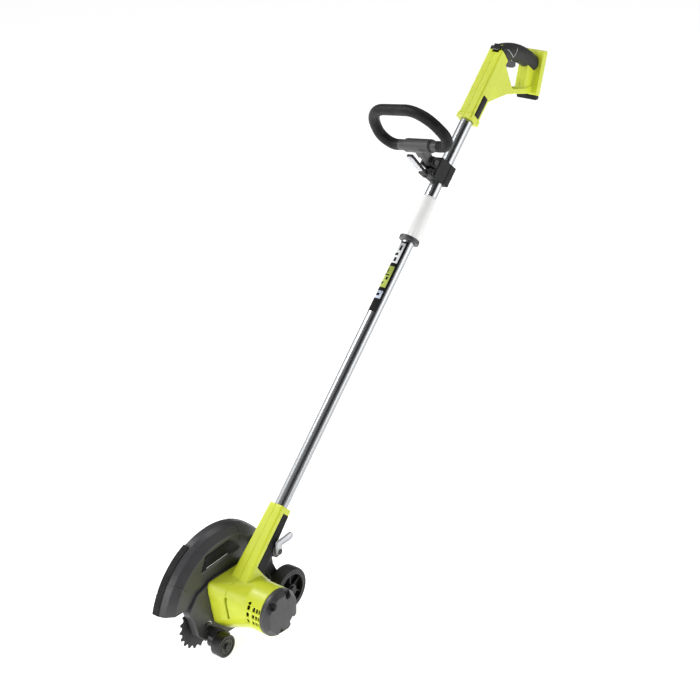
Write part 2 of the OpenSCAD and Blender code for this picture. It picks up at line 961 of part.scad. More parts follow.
module lock_off_button() {
    color("black") shaft_frame(1034) translate([-8, -22, 0]) cube([16, 12.6, 15]);
}

module trigger() {
    color("dimgray") difference() {
        slab(-6, 6) {
            translate(trigger_at) circle(5);
            polygon([
                [724, 742], [721.5, 731], [730, 725], [745, 719], [758, 716], [769, 717], [769, 728],
                [752, 733], [736, 744]]);
        }
        disc(-10, 10, trigger_at, 2.5 + run);
    }
}

module power_switch() {
    color("dimgray") translate([-5, 779, 733.4]) cube([10, 12, 8.6]);
}

module battery_terminals() {
    color("black") slab(-18, 18) polygon([[841.18, 688], [848, 686], [841.5, 662], [834.48, 664]]);
}

// ---- assembly ----

module placed() {
    translate(-grip_at) children();
}

placed() housing_left();
placed() housing_right();
placed() shell_screws();
placed() motor_end_cap();
placed() end_cap_screws();
placed() motor_front_plate();
placed() motor_rear_plate();
placed() motor_can();
placed() motor_magnets();
placed() brush_card();
placed() motor_bearings();
placed() motor_shaft();
placed() armature_core();
placed() commutator();
placed() cooling_fan();
placed() motor_pulley();
placed() drive_belt();
placed() drive_case();
placed() case_screws();
placed() spindle_bearings();
placed() blade_spindle();
placed() blade_pulley();
placed() blade();
placed() blade_flanges();
placed() blade_nut();
placed() guard_shell();
placed() guard_flap();
placed() guard_plate();
placed() front_bracket();
placed() front_axle();
placed() front_wheel();
placed() depth_bracket();
placed() depth_shaft();
placed() depth_lever();
placed() depth_arm();
placed() rear_axle();
placed() rear_wheel_hub();
placed() rear_wheel_tyre();
placed() boom_plate();
placed() lower_tube();
placed() coupler_ring();
placed() coupler_sleeve();
placed() coupler_spigot();
placed() upper_tube();
placed() clamp_front();
placed() clamp_rear();
placed() clamp_bolts();
placed() clamp_lever();
placed() handle_stem();
placed() loop_tube();
placed() loop_foam();
placed() rear_shell_left();
placed() rear_shell_right();
placed() power_cable();
placed() grip_sleeve();
placed() rear_foot();
placed() lock_off_button();
placed() trigger();
placed() power_switch();
placed() battery_terminals();
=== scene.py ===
"""Looks of a battery lawn edger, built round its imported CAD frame.

Lengths are in millimetres in the tables below and in metres once they are placed. Places are
given in the head's own frame: its origin is where the shaft leaves the motor housing, +X is the
user's left, -Y is forward and +Z is up. Each shape has a local frame whose third axis is its own.
"""

import json
import math

import bmesh
import bpy
from mathutils import Matrix, Vector

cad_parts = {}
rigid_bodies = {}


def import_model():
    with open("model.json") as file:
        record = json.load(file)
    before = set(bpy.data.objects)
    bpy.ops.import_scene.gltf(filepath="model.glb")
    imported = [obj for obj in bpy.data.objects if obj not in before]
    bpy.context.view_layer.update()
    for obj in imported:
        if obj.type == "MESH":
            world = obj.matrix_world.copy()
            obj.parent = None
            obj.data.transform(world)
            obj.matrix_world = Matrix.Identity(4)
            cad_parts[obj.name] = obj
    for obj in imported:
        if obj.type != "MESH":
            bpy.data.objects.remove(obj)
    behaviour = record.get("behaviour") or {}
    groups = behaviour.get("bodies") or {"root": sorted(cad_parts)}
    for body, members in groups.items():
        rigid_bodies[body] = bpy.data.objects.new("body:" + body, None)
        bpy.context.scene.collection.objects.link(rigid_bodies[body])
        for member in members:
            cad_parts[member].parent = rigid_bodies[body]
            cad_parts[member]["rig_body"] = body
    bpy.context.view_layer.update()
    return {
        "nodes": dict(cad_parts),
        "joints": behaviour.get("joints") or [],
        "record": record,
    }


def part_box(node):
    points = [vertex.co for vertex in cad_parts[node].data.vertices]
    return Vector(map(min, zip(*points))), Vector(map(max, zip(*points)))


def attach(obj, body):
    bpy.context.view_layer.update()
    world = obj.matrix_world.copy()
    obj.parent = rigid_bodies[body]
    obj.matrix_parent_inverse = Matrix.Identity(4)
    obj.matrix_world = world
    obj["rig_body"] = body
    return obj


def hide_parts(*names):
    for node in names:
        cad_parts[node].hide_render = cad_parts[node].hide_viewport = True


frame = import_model()

MM = 0.001
NODES = frame["nodes"]
JOINTS = {joint["name"]: joint for joint in frame["joints"]}
SLOTS = {part["node"]: part["material_slot"] for part in frame["record"]["subparts"]}
MOUNTS = {mount["name"]: mount for mount in frame["record"]["mounts"]}

# ---- frames ----

LEFT = Vector((1, 0, 0))
SHAFT = Vector(JOINTS["handle_slide"]["axis"])
AHEAD = LEFT.cross(SHAFT)
COUPLER_STATION = 624
CLAMP_STATION = 732
BADGE_STATION = 878
HEAD = Vector(JOINTS["coupler_twist"]["pos_m"]) - SHAFT * COUPLER_STATION * MM
CLAMP_ACROSS = Vector(JOINTS["handle_tilt"]["axis"])
CLAMP_AHEAD = CLAMP_ACROSS.cross(SHAFT)
LOOP_UP = Vector(MOUNTS["loop_grip"]["axis"])
LOOP_RISE = 98


def local_frame(origin, x_axis, y_axis, z_axis):
    """Matrix from millimetres along three axes, from an origin, to the row frame's metres."""
    matrix = Matrix((x_axis * MM, y_axis * MM, z_axis * MM)).transposed().to_4x4()
    matrix.translation = origin
    return matrix


def head_point(x, y, z):
    """The row frame's place of a point of the head's frame."""
    return HEAD + Vector((x, y, z)) * MM


def wheel_frame(joint):
    """Local +Z runs along +X through a joint's axis, from the head's middle plane."""
    place = Vector(JOINTS[joint]["pos_m"])
    origin = Vector((HEAD.x, place.y, place.z))
    return local_frame(origin, Vector((0, -1, 0)), Vector((0, 0, -1)), LEFT)


# From the head's origin, as seen from the user's left
SIDE = local_frame(HEAD, Vector((0, 1, 0)), Vector((0, 0, 1)), LEFT)
# Round the shaft's axis: angles turn from ahead towards the left, and heights are stations
UP_SHAFT = local_frame(HEAD, AHEAD, SHAFT.cross(AHEAD), SHAFT)
# Round the guard's centre: angles turn up from straight ahead, and local +Z is to the right
GUARD = local_frame(head_point(0, -161, -224), Vector((0, -1, 0)), Vector((0, 0, 1)), -LEFT)
# From the middle of the loop's lower bar: in the loop's plane, and round the bar
LOOP_AT = Vector(MOUNTS["loop_grip"]["pos_m"]) - LOOP_UP * LOOP_RISE * MM
LOOP_AHEAD = CLAMP_ACROSS.cross(LOOP_UP)
LOOP_PLANE = local_frame(LOOP_AT, CLAMP_ACROSS, LOOP_UP, LOOP_AHEAD)
LOOP_BAR = local_frame(LOOP_AT, LOOP_UP, LOOP_AHEAD, CLAMP_ACROSS)

# ---- materials ----


class Graph:
    """A material's nodes, with the few steps that every finish here uses."""

    def __init__(self, name):
        self.material = bpy.data.materials.new(name)
        self.material.use_nodes = True
        self.tree = self.material.node_tree
        self.shader = self.tree.nodes["Principled BSDF"]
        self.place = self.add("ShaderNodeTexCoord").outputs["Object"]

    def add(self, kind, inputs=None, **settings):
        """A new node, with its inputs fed from sockets or set to values."""
        node = self.tree.nodes.new(kind)
        for key, value in settings.items():
            setattr(node, key, value)
        for key, value in (inputs or {}).items():
            self.feed(node.inputs[key], value)
        return node

    def feed(self, socket, value):
        if isinstance(value, bpy.types.NodeSocket):
            self.tree.links.new(value, socket)
        else:
            socket.default_value = value

    def noise(self, scale, detail=3, place=None):
        inputs = {"Vector": place or self.place, "Scale": scale, "Detail": detail}
        return self.add("ShaderNodeTexNoise", inputs).outputs["Fac"]

    def ranged(self, value, low, high, to_low=0.0, to_high=1.0):
        inputs = {"Value": value, "From Min": low, "From Max": high}
        inputs.update({"To Min": to_low, "To Max": to_high})
        return self.add("ShaderNodeMapRange", inputs, clamp=True).outputs["Result"]

    def mixed(self, factor, a, b):
        node = self.add("ShaderNodeMix", data_type="RGBA")
        for socket, value in zip((node.inputs[0], node.inputs[6], node.inputs[7]), (factor, a, b)):
            self.feed(socket, value)
        return node.outputs[2]

    def times(self, a, b):
        return self.add("ShaderNodeMath", {0: a, 1: b}, operation="MULTIPLY").outputs[0]

    def worn_edges(self, low, high):
        """1 on sharp convex edges, broken up by noise."""
        edge = self.add("ShaderNodeNewGeometry").outputs["Pointiness"]
        return self.times(self.ranged(edge, low, high), self.ranged(self.noise(90), 0.35, 0.7))

    def bumped(self, height, strength, distance, under=None):
        inputs = {"Height": height, "Strength": strength, "Distance": distance}
        if under is not None:
            inputs["Normal"] = under
        return self.add("ShaderNodeBump", inputs).outputs["Normal"]

    def finish(self, **inputs):
        for key, value in inputs.items():
            self.feed(self.shader.inputs[key.replace("_", " ")], value)
        return self.material


def rgba(colour, lighter=0.0):
    """The colour with an alpha of 1, mixed with that share of white."""
    return tuple(c + (1 - c) * lighter for c in colour) + (1.0,)


def moulded_plastic(name, colour, rough, grain=0.12, wear=0.12, coat=0.0, shine=0.5):
    """Injection-moulded plastic: a fine spark-eroded grain, faint mottling and paler edges."""
    g = Graph(name)
    dark = tuple(c * 0.88 for c in colour)
    body = g.mixed(g.ranged(g.noise(11, 4), 0.3, 0.7), rgba(dark), rgba(colour))
    worn = g.times(g.worn_edges(0.53, 0.60), wear * 4)
    colour_out = g.mixed(worn, body, rgba(colour, wear))
    roughness = g.ranged(g.noise(70, 4), 0.3, 0.7, rough - 0.06, rough + 0.08)
    normal = g.bumped(g.noise(1500, 2), grain, 0.0002)
    return g.finish(
        Base_Color=colour_out, Roughness=roughness, Normal=normal, Coat_Weight=coat, Coat_Roughness=0.12,
        Specular_IOR_Level=shine
    )


def drawn_metal(name, colour, rough, turned=0.0):
    """Metal with streaks along its length; turned tilts local +Z to the streaks' direction."""
    g = Graph(name)
    inputs = {"Vector": g.place, "Rotation": (turned, 0, 0), "Scale": (1.0, 1.0, 0.02)}
    along = g.add("ShaderNodeMapping", inputs).outputs["Vector"]
    streak = g.noise(900, 3, along)
    body = g.mixed(g.ranged(streak, 0.3, 0.7), rgba(tuple(c * 0.9 for c in colour)), rgba(colour))
    roughness = g.ranged(streak, 0.25, 0.75, rough * 0.75, rough * 1.25)
    normal = g.bumped(streak, 0.05, 0.0001)
    return g.finish(Base_Color=body, Metallic=1.0, Roughness=roughness, Normal=normal)


def cast_metal(name, colour, rough, metallic=1.0, lumps=400, bump=0.2):
    """Cast, plated or laminated metal: small lumps over an uneven gloss."""
    g = Graph(name)
    spots = g.noise(lumps, 5)
    body = g.mixed(g.ranged(spots, 0.35, 0.65), rgba(tuple(c * 0.75 for c in colour)), rgba(colour))
    roughness = g.ranged(g.noise(60, 4), 0.3, 0.7, rough - 0.08, rough + 0.1)
    normal = g.bumped(spots, bump, 0.0002)
    return g.finish(Base_Color=body, Metallic=metallic, Roughness=roughness, Normal=normal)


def rubber(name, colour, rough, cells=1400, bump=0.3, sheen=0.05, shine=0.15):
    """Rubber or foam: small round cells over a slow unevenness, with a faint sheen."""
    g = Graph(name)
    cell = g.add("ShaderNodeTexVoronoi", {"Vector": g.place, "Scale": cells}).outputs["Distance"]
    scuffs = g.ranged(g.noise(45, 6), 0.45, 0.75)
    body = g.mixed(scuffs, rgba(colour), rgba(colour, 0.012))
    roughness = g.ranged(g.noise(120, 3), 0.3, 0.7, rough - 0.07, rough + 0.07)
    normal = g.bumped(cell, bump, 0.00025, g.bumped(g.noise(130, 2), 0.08, 0.001))
    return g.finish(
        Base_Color=body, Roughness=roughness, Normal=normal, Sheen_Weight=sheen, Specular_IOR_Level=shine
    )


def printed_film(name, colour, rough):
    """A printed film: smooth and glossy, with faint scratches."""
    g = Graph(name)
    inputs = {"Vector": g.place, "Rotation": (0.7, 0.3, 0.2), "Scale": (1, 0.03, 1)}
    scratch = g.noise(1200, 2, g.add("ShaderNodeMapping", inputs).outputs["Vector"])
    body = g.mixed(g.ranged(g.noise(30, 5), 0.4, 0.8), rgba(colour), rgba(colour, 0.012))
    roughness = g.ranged(scratch, 0.5, 0.8, rough, rough + 0.18)
    normal = g.bumped(scratch, 0.03, 0.0001)
    return g.finish(Base_Color=body, Roughness=roughness, Normal=normal, Specular_IOR_Level=0.12)


def pale_translucent(name, colour):
    """Milky plastic that lets some light through."""
    g = Graph(name)
    clouds = g.ranged(g.noise(60, 3), 0.3, 0.7)
    body = g.mixed(clouds, rgba(tuple(c * 0.92 for c in colour)), rgba(colour))
    roughness = g.ranged(g.noise(200, 3), 0.3, 0.7, 0.14, 0.26)
    normal = g.bumped(g.noise(500, 2), 0.03, 0.0002)
    return g.finish(
        Base_Color=body, Roughness=roughness, Normal=normal, Transmission_Weight=0.35, IOR=1.49
    )


LIME = (0.66, 0.74, 0.030)
SHAFT_TURN = math.radians(90) - math.atan2(SHAFT.z, SHAFT.y)

MATERIALS = {
    "lime_shell": moulded_plastic("lime_shell", LIME, 0.38, grain=0.05, wear=0.10, coat=0.2),
    "dark_shell": moulded_plastic("dark_shell", (0.046, 0.046, 0.049), 0.38, grain=0.15, wear=0.06),
    "black_plastic": moulded_plastic("black_plastic", (0.014, 0.014, 0.015), 0.38, wear=0.04),
    "gloss_black": moulded_plastic("gloss_black", (0.008, 0.008, 0.009), 0.14, grain=0.01, coat=0.6),
    "white_plastic": moulded_plastic("white_plastic", (0.92, 0.92, 0.91), 0.40, grain=0.08),
    "pale_lever": pale_translucent("pale_lever", (0.82, 0.84, 0.88)),
    "tube_steel": drawn_metal("tube_steel", (0.40, 0.41, 0.42), 0.26, -SHAFT_TURN),
    "bright_steel": drawn_metal("bright_steel", (0.62, 0.63, 0.65), 0.28),
    "blade_steel": cast_metal("blade_steel", (0.055, 0.055, 0.058), 0.42, metallic=0.6, lumps=260),
    "zinc": cast_metal("zinc", (0.62, 0.62, 0.60), 0.34, lumps=700, bump=0.08),
    "alloy": cast_metal("alloy", (0.66, 0.67, 0.69), 0.45),
    "magnet": cast_metal("magnet", (0.10, 0.10, 0.10), 0.6, metallic=0.3),
    "core": cast_metal("core", (0.30, 0.24, 0.20), 0.5, metallic=0.7),
    "copper": drawn_metal("copper", (0.80, 0.42, 0.24), 0.3),
    "board": moulded_plastic("board", (0.24, 0.11, 0.03), 0.6),
    "wheel_tyre": rubber("wheel_tyre", (0.013, 0.013, 0.014), 0.48, cells=900, bump=0.15, shine=0.4),
    "foam": rubber("foam", (0.008, 0.008, 0.0085), 0.50, cells=1600, sheen=0.03),
    "soft_grip": rubber("soft_grip", (0.026, 0.026, 0.025), 0.50, cells=1100, bump=0.4),
    "belt_rubber": rubber("belt_rubber", (0.015, 0.015, 0.015), 0.7),
    "cable_skin": rubber("cable_skin", (0.018, 0.018, 0.018), 0.5, bump=0.1),
    "plate_film": printed_film("plate_film", (0.004, 0.004, 0.0045), 0.45),
    "dark_steel": cast_metal("dark_steel", (0.035, 0.035, 0.037), 0.40, metallic=0.7, bump=0.08),
}
DARK_CLAMP = moulded_plastic("dark_clamp", (0.020, 0.020, 0.021), 0.44, wear=0.05, shine=0.15)
PRINTS = {
    "print_pale": printed_film("print_pale", (0.70, 0.71, 0.72), 0.30),
    "print_lime": printed_film("print_lime", (0.42, 0.50, 0.10), 0.30),
    "print_blue": printed_film("print_blue", (0.55, 0.62, 0.74), 0.30),
}

for node_name, node in NODES.items():
    node.material_slots[0].material = MATERIALS[SLOTS[node_name]]

# ---- mesh helpers ----


def add_piece(name, mesh, body, slot, replaces=(), material=None):
    """A finished piece in the row frame, which rides on a body and takes a slot's finish."""
    piece = bpy.data.objects.new(name, mesh)
    bpy.context.scene.collection.objects.link(piece)
    mesh.materials.clear()
    mesh.materials.append(material or MATERIALS[slot])
    for face in mesh.polygons:
        face.use_smooth = True
    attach(piece, body)
    if replaces:
        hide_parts(*replaces)
    return piece


def applied(mesh, *modifiers):
    """The mesh once each (kind, settings) modifier has been applied to it."""
    holder = bpy.data.objects.new("holder", mesh)
    bpy.context.scene.collection.objects.link(holder)
    for kind, settings in modifiers:
        modifier = holder.modifiers.new(kind, kind)
        for key, value in settings.items():
            setattr(modifier, key, value)
    graph = bpy.context.evaluated_depsgraph_get()
    result = bpy.data.meshes.new_from_object(holder.evaluated_get(graph))
    bpy.data.objects.remove(holder)
    return result


EVEN_SHADING = ("WEIGHTED_NORMAL", {"weight": 80, "keep_sharp": False})


def rounded_edges(width):
    """The modifier that rounds every edge sharper than 28 degrees."""
    settings = {"width": width * MM, "segments": 3, "limit_method": "ANGLE"}
    settings["angle_limit"] = math.radians(28)
    return ("BEVEL", settings)


def welded(mesh, gap, turn_faces=False):
    """The mesh with points closer than the gap joined and, if asked, its faces turned outwards."""
    work = bmesh.new()
    work.from_mesh(mesh)
    bmesh.ops.remove_doubles(work, verts=work.verts, dist=gap)
    if turn_faces:
        bmesh.ops.recalc_face_normals(work, faces=work.faces)
    work.to_mesh(mesh)
    work.free()
    return mesh


def built_mesh(name, points, faces, placing):
    """A closed mesh from local points in millimetres, placed in the row frame."""
    mesh = bpy.data.meshes.new(name)
    mesh.from_pydata([placing @ Vector(p) for p in points], [], faces)
    return welded(mesh, 0.5e-6, turn_faces=True)


def moulded(node, voxel=1.2, passes=4, keep=0.3, material=None):
    """Stands for a CAD node, with its edges rounded as a mould leaves them."""
    mesh = applied(
        welded(NODES[node].data.copy(), 1e-6),
        ("REMESH", {"mode": "VOXEL", "voxel_size": voxel * MM}),
        ("SMOOTH", {"factor": 0.5, "iterations": passes}),
        ("DECIMATE", {"ratio": keep}),
        EVEN_SHADING,
    )
    add_piece(node + "_moulded", mesh, NODES[node]["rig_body"], SLOTS[node], [node], material)


def rounded_profile(points, radius, steps=4, turned=True):
    """A closed outline with each corner rounded; a turned one keeps its corners on the axis."""
    count = len(points)
    rounded = []
    for k in range(count):
        corner = Vector(points[k])
        back = Vector(points[k - 1]) - corner
        on = Vector(points[(k + 1) % count]) - corner
        reach = min(radius, back.length * 0.45, on.length * 0.45)
        if (turned and corner.x < 1e-6) or reach < 0.05:
            rounded.append(corner)
            continue
        start = corner + back.normalized() * reach
        end = corner + on.normalized() * reach
        for s in range(steps + 1):
            t = s / steps
            rounded.append(start * (1 - t) ** 2 + corner * 2 * t * (1 - t) + end * t * t)
    return rounded


def turned_mesh(name, profile, placing, sides=96, start=0.0, turn=360.0):
    """A closed outline of (radius, height) points, turned about the local third axis."""
    whole = turn >= 360
    count = len(profile)
    rings = sides if whole else sides + 1
    points = []
    for k in range(rings):
        a = math.radians(start + turn * k / sides)
        points += [(p[0] * math.cos(a), p[0] * math.sin(a), p[1]) for p in profile]
    faces = []
    for k in range(sides):
        near, far = k * count, ((k + 1) % rings) * count
        for j in range(count):
            i = (j + 1) % count
            faces.append((near + j, near + i, far + i, far + j))
    if not whole:
        faces += [tuple(range(count)), tuple(range((rings - 1) * count, rings * count))]
    return built_mesh(name, points, faces, placing)


def prism_mesh(name, outline, low, high, placing, bevel):
    """An outline in the local plane, as thick as the stretch from low to high, edges rounded."""
    count = len(outline)
    points = [(p[0], p[1], z) for z in (low, high) for p in outline]
    faces = [tuple(range(count)), tuple(range(count, 2 * count))]
    faces += [(k, (k + 1) % count, count + (k + 1) % count, count + k) for k in range(count)]
    mesh = built_mesh(name, points, faces, placing)
    return applied(mesh, rounded_edges(bevel), EVEN_SHADING)


def swept_mesh(name, path, radii, placing, sides=32):
    """A round bar along local points, with a radius at each of them."""
    points, faces = [], []
    last = len(path) - 1
    for k, (place, radius) in enumerate(zip(path, radii)):
        along = (path[min(k + 1, last)] - path[max(k - 1, 0)]).normalized()
        across = Vector((0, 0, 1)).cross(along).normalized()
        up = along.cross(across)
        for j in range(sides):
            a = 2 * math.pi * j / sides
            points.append(place + (across * math.cos(a) + up * math.sin(a)) * radius)
    for k in range(last):
        near, far = k * sides, (k + 1) * sides
        for j in range(sides):
            i = (j + 1) % sides
            faces.append((near + j, near + i, far + i, far + j))
    faces += [tuple(range(sides)), tuple(range(last * sides, (last + 1) * sides))]
    return built_mesh(name, points, faces, placing)


def wire_mesh(name, path, radius, placing):
    """A thin round wire along local points."""
    return swept_mesh(name, path, [radius] * len(path), placing, sides=10)


# ---- head ----

for node_name in ("housing_left", "housing_right"):
    moulded(node_name, voxel=1.1, passes=5)
for node_name in ("motor_end_cap", "drive_case"):
    moulded(node_name, voxel=1.0, passes=3)
moulded("guard_shell", voxel=1.2, passes=3, keep=0.4)
moulded("front_bracket", voxel=0.8, passes=4)
moulded("boom_plate", voxel=0.5, passes=2)
moulded("blade", voxel=0.5, passes=1, keep=0.5)


def guard_flap():
    """A rubber strip round the rim's far edge, in two lengths, with a lip that turns inwards."""
    profile = [(166.5, 71), (169.6, 71), (170, 86), (168, 88), (161, 88), (161, 86), (166.5, 85.2)]
    profile = rounded_profile(profile, 0.8, 3)
    finish = MATERIALS["belt_rubber"]
    for k, (start, turn) in enumerate(((14, 14.5), (29, 37))):
        mesh = turned_mesh("flap", profile, GUARD, 64, start, turn)
        add_piece("guard_flap_%d" % (k + 1), mesh, "frame", "black_plastic", ["guard_flap"], finish)


guard_flap()


def guard_ribs():
    """Thin ribs over the guard's shoulder, where its outline changes direction."""
    section = [
        (138, 43.9), (148.5, 43.9), (153, 47.2), (158, 51.9), (162.8, 57.6), (167.2, 70), (168, 84)]
    for k, angle in enumerate((37, 67, 110)):
        a = math.radians(angle)
        points = [Vector((r * math.cos(a), r * math.sin(a), z)) for r, z in section]
        mesh = wire_mesh("rib", points, 0.8, GUARD)
        add_piece("guard_rib_%d" % (k + 1), mesh, "frame", "dark_shell")


guard_ribs()


def guard_label():
    """The warning film's blank stand-in: a black panel with a pale rule."""
    outline = [(-211, -91), (-143, -84), (-119, -111), (-225, -121)]
    mesh = prism_mesh("label", outline, -45.2, -43.4, SIDE, 0.5)
    add_piece("guard_label", mesh, "frame", "plate_film", ["guard_plate"])
    rule = [(-213, -117), (-151, -111.5), (-151, -110.2), (-213, -115.7)]
    mesh = prism_mesh("rule", rule, -43.6, -43.2, SIDE, 0.1)
    add_piece("guard_label_rule", mesh, "frame", "plate_film", material=PRINTS["print_pale"])


guard_label()


def spindle_cap():
    """A dark dust cap over the inner end of the blade's spindle."""
    profile = rounded_profile([(0, -38.1), (9.8, -38.1), (9.8, -37.0), (0, -36.4)], 0.6)
    mesh = turned_mesh("cap", profile, wheel_frame("blade_spin"), 48)
    add_piece("spindle_dust_cap", mesh, "frame", "black_plastic")


spindle_cap()

# ---- wheels ----


def wheel(name, joint, body, node, slot, profile, radius):
    """A wheel's part, turned about its joint's axis, that stands for a CAD node."""
    mesh = turned_mesh(name, rounded_profile(profile, radius), wheel_frame(joint))
    add_piece(name, mesh, body, slot, [node])


def radius_of(node):
    """A wheel's radius in millimetres, from the height of its node."""
    low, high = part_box(node)
    return (high.z - low.z) / 2 / MM


FRONT_R = radius_of("front_wheel")
REAR_R = radius_of("rear_wheel_tyre")

wheel("front_wheel_body", "front_wheel_spin", "front_roller", "front_wheel", "black_plastic", [
    (4.1, 5), (8.5, 5), (8.5, 3.2), (11.5, 3.2), (11.5, 4.4), (16.5, 4.4), (16.5, 2.6), (19, 2.6),
    (19, 4.8), (FRONT_R, 4.8), (FRONT_R, -17.8), (19, -17.8), (19, -15), (9, -15), (9, -18),
    (4.1, -18)], 1.4)
wheel("rear_tyre", "rear_wheel_spin", "rear_roller", "rear_wheel_tyre", "wheel_tyre", [
    (40, -5.6), (REAR_R - 3, -5), (REAR_R - 0.4, -8), (REAR_R, -14), (REAR_R, -27), (REAR_R - 0.4, -33),
    (REAR_R - 3, -36), (40, -35.4), (40, -30), (38.6, -30), (38.6, -8), (40, -8)], 2.2)
moulded("rear_wheel_hub", voxel=0.8, passes=3)
for node_name in ("depth_bracket", "depth_lever", "depth_arm"):
    moulded(node_name, voxel=0.7, passes=3)

# ---- shaft ----

TUBE_R = 14
FILM = 0.14
FILM_THICK = 0.12


def tube_film(name, low, high, start, turn, layer, material=None):
    """A film round part of the tube, between two stations; angles turn left from ahead."""
    outer = TUBE_R + layer * FILM
    inner = outer - FILM_THICK
    profile = [(inner, low), (outer, low), (outer, high), (inner, high)]
    mesh = turned_mesh(name, profile, UP_SHAFT, 40, start, turn)
    add_piece(name, mesh, "frame", "plate_film", material=material)


tube_film("tube_label", 394, 560, -78, 122, 1)
for k, (low, high, print_name) in enumerate((
        (508, 556, "print_pale"), (450, 500, "print_lime"), (424, 442, "print_blue"))):
    tube_film("tube_mark_%d" % (k + 1), low, high, -78, 104, 2, PRINTS[print_name])
for k, (low, high, start, turn) in enumerate((
        (538, 550, -14, 22), (526, 532, -40, 40), (512, 521, -22, 26), (484, 494, -26, 12),
        (478, 481, -50, 60), (468, 475, -10, 20), (457, 463, -44, 30), (430, 436, -30, 34))):
    tube_film("tube_sign_%d" % (k + 1), low, high, start, turn, 3)

moulded("coupler_sleeve", voxel=0.6, passes=6, keep=0.4)
moulded("coupler_ring", voxel=0.6, passes=3)

# ---- clamp and loop handle ----

for node_name in ("clamp_front", "clamp_rear", "clamp_lever"):
    moulded(node_name, voxel=0.7, passes=3, material=DARK_CLAMP)
moulded("handle_stem", voxel=0.8, passes=5)


def lever_cap():
    """A dark cap over the hub of the depth lever."""
    profile = rounded_profile([(0, 27.5), (6.4, 27.5), (6.4, 29.0), (0, 29.8)], 0.8)
    mesh = turned_mesh("cap", profile, wheel_frame("depth_adjust"), 48)
    add_piece("depth_lever_cap", mesh, NODES["depth_lever"]["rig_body"], "black_plastic")


lever_cap()


LEVER_AHEAD = 38
LEVER_STATION = CLAMP_STATION - 19
LEVER_RISE = math.radians(9)


def lever_highlight_pad():
    """A pale pad under the clamp's lever: a painted highlight where light falls on the lever's
    underside. In the lever's frame from its hub.
    """
    hub = HEAD + (CLAMP_AHEAD * LEVER_AHEAD + SHAFT * LEVER_STATION) * MM
    out = CLAMP_AHEAD * math.cos(LEVER_RISE) + SHAFT * math.sin(LEVER_RISE)
    place = local_frame(hub, CLAMP_ACROSS, out, CLAMP_ACROSS.cross(out))
    corners = [(-7.75, 16), (7.75, 16), (7.75, 61), (-7.75, 61)]
    outline = rounded_profile(corners, 4, turned=False)
    mesh = prism_mesh("pad", outline, 7.6, 9.4, place, 0.5)
    # The pad's pale finish is a painted highlight for the light on the lever's underside
    add_piece("clamp_lever_painted_highlight", mesh, "clamp_cam", "pale_lever")


lever_highlight_pad()

# The loop's line: half widths of its lower and upper bar, the upper bar's shift, bend radii
LOOP_HALF = 112
LOOP_TOP = 82
LOOP_SKEW = -10
BEND_LOW = 32
BEND_HIGH = 66
COLLAR_END = 58
FOAM_R = 12
# Where the foam's rounded ends narrow: how far along from the end, and the radius there
FOAM_END = ((0, 10.4), (0.3, 11.2), (1.0, 11.7), (2.0, 11.95), (3.5, 12))


def bend_points(corner, u, v, radius, steps=12):
    """Points round a corner, turning left from direction u to direction v."""
    turn = math.acos(u.dot(v))
    start = corner - u * radius * math.tan(turn / 2)
    left = Vector((-u.y, u.x))
    centre = start + left * radius
    first = math.atan2(-left.y, -left.x)
    angles = [first + turn * k / steps for k in range(steps + 1)]
    return [centre + Vector((math.cos(a), math.sin(a))) * radius for a in angles]


def loop_path(first):
    """The loop's line from x = first on the lower bar, round to x = -first."""
    low, high = Vector((LOOP_HALF, 0)), Vector((LOOP_TOP, LOOP_RISE))
    side = (high - low).normalized()
    half = [Vector((first, 0))]
    half += bend_points(low, Vector((1, 0)), side, BEND_LOW)
    half += bend_points(high, side, Vector((-1, 0)), BEND_HIGH)
    half += [Vector((x, LOOP_RISE)) for x in (20, 0)]
    whole = half + [Vector((-p.x, p.y)) for p in reversed(half[:-1])]
    return [Vector((p.x + LOOP_SKEW * p.y / LOOP_RISE, p.y)) for p in whole]


def loop_foam():
    """The foam, whose cut ends are rounded, with a slight swell along it."""
    path = loop_path(COLLAR_END)
    ends = [Vector((COLLAR_END + along, 0)) for along, radius in FOAM_END]
    path = ends + path[1:-1] + [Vector((-p.x, p.y)) for p in reversed(ends)]
    radii = [FOAM_R + 0.12 * math.sin(k * 0.9) for k in range(len(path))]
    for k, (along, radius) in enumerate(FOAM_END):
        radii[k] = radii[-1 - k] = radius
    mesh = swept_mesh("foam", [p.to_3d() for p in path], radii, LOOP_PLANE)
    foam = add_piece("loop_foam_grip", mesh, "loop_handle", "foam", ["loop_foam"])


loop_foam()


def loop_collars():
    """A collar and a seal on the lower bar, against each end of the foam."""
    for side, sign in (("left", 1), ("right", -1)):
        collar = rounded_profile([(8.1, 41.5), (11.9, 41.5), (11.9, 59), (8.1, 59)], 0.8)
        seal = rounded_profile([(8.1, 38.2), (13.6, 38.2), (13.6, 41.3), (8.1, 41.3)], 0.8)
        for name, profile, slot in (("collar", collar, "dark_shell"), ("seal", seal, "black_plastic")):
            profile = [(p[0], sign * p[1]) for p in profile]
            mesh = turned_mesh(name, profile, LOOP_BAR, 64)
            add_piece("loop_%s_%s" % (name, side), mesh, "loop_handle", slot)


loop_collars()

# ---- rear handle ----

# The grip's middle line is an arc in the side plane; the V's corners lie in that plane too
GRIP_ARC_AT = Vector((706.5, 538))
GRIP_ARC_R = 219
GRIP_R = 19.5
V_CORNERS = ((716, 766), (741, 744), (757, 762))

for node_name in ("rear_shell_left", "rear_shell_right"):
    moulded(node_name, voxel=0.9, passes=4)
moulded("grip_sleeve", voxel=0.7, passes=4, keep=0.5)
moulded("lock_off_button", voxel=0.6, passes=14)
moulded("trigger", voxel=0.6, passes=5)
moulded("rear_foot", voxel=0.6, passes=4)


